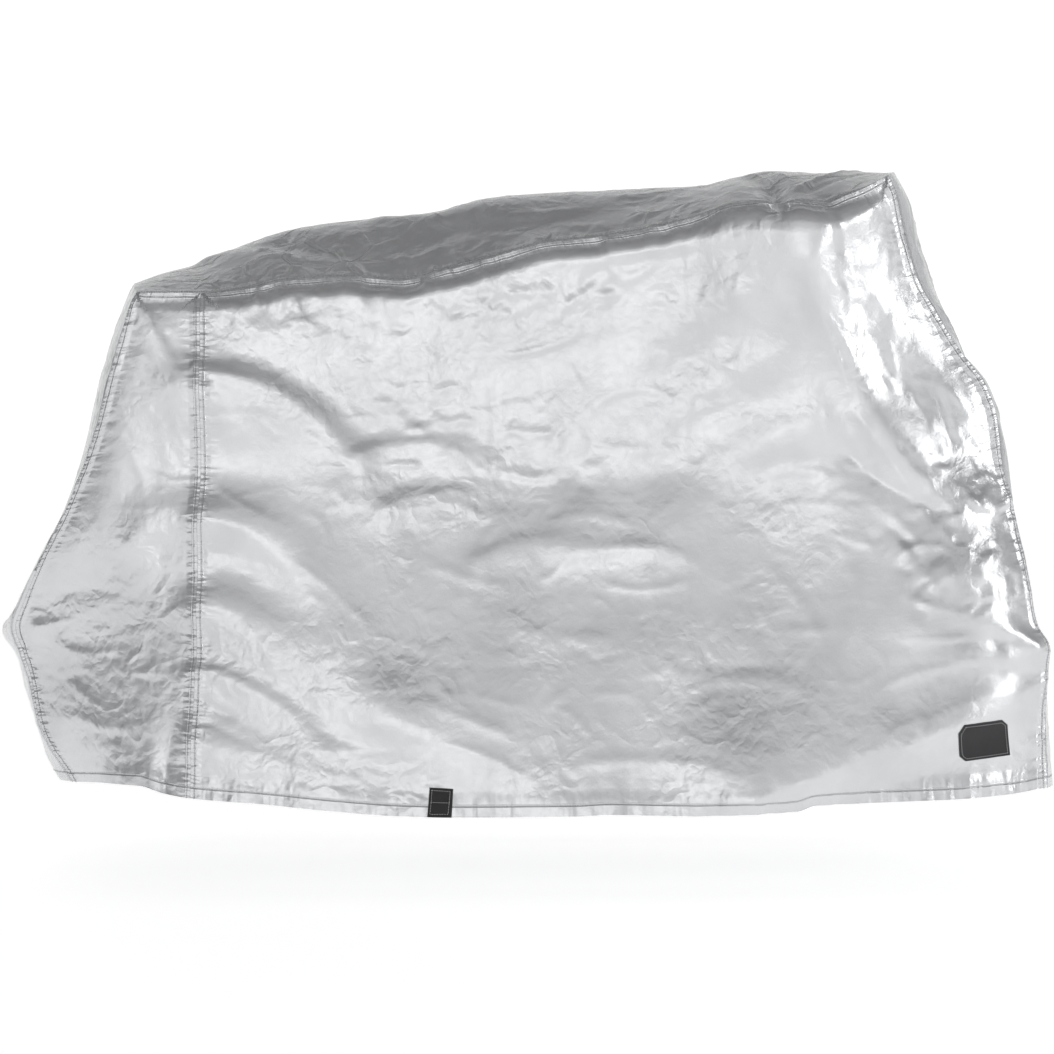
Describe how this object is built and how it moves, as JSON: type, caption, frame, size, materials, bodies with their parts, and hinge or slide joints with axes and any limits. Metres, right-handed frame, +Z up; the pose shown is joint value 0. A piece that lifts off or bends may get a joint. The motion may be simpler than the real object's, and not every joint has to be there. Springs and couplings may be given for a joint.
{
  "type": "bicycle cover",
  "caption": "Fitted silver cloth cover hanging over a standing bicycle, with a long strip between its sides, a turned hem, a corner patch and a hem tab.",
  "frame": {"origin": "mount under_top: inner face of the top at mid-length, where the bicycle holds the cover up", "axes": "+X toward the front wheel along the bicycle, +Y away from the side that has the patch, +Z up"},
  "size_m": [1.8655, 0.6496, 1.1097],
  "materials": {
    "coated_polyester": "silver coated polyester, satin",
    "charcoal_patch": "matt woven patch, charcoal",
    "black_webbing": "matt woven webbing, black"
  },
  "bodies": {
    "root": {"long_strip": "coated_polyester", "near_rear_panel": "coated_polyester", "near_main_panel": "coated_polyester", "far_rear_panel": "coated_polyester", "far_main_panel": "coated_polyester", "reinforcement_patch": "charcoal_patch", "webbing_tab": "black_webbing"}
  },
  "joints": []
}
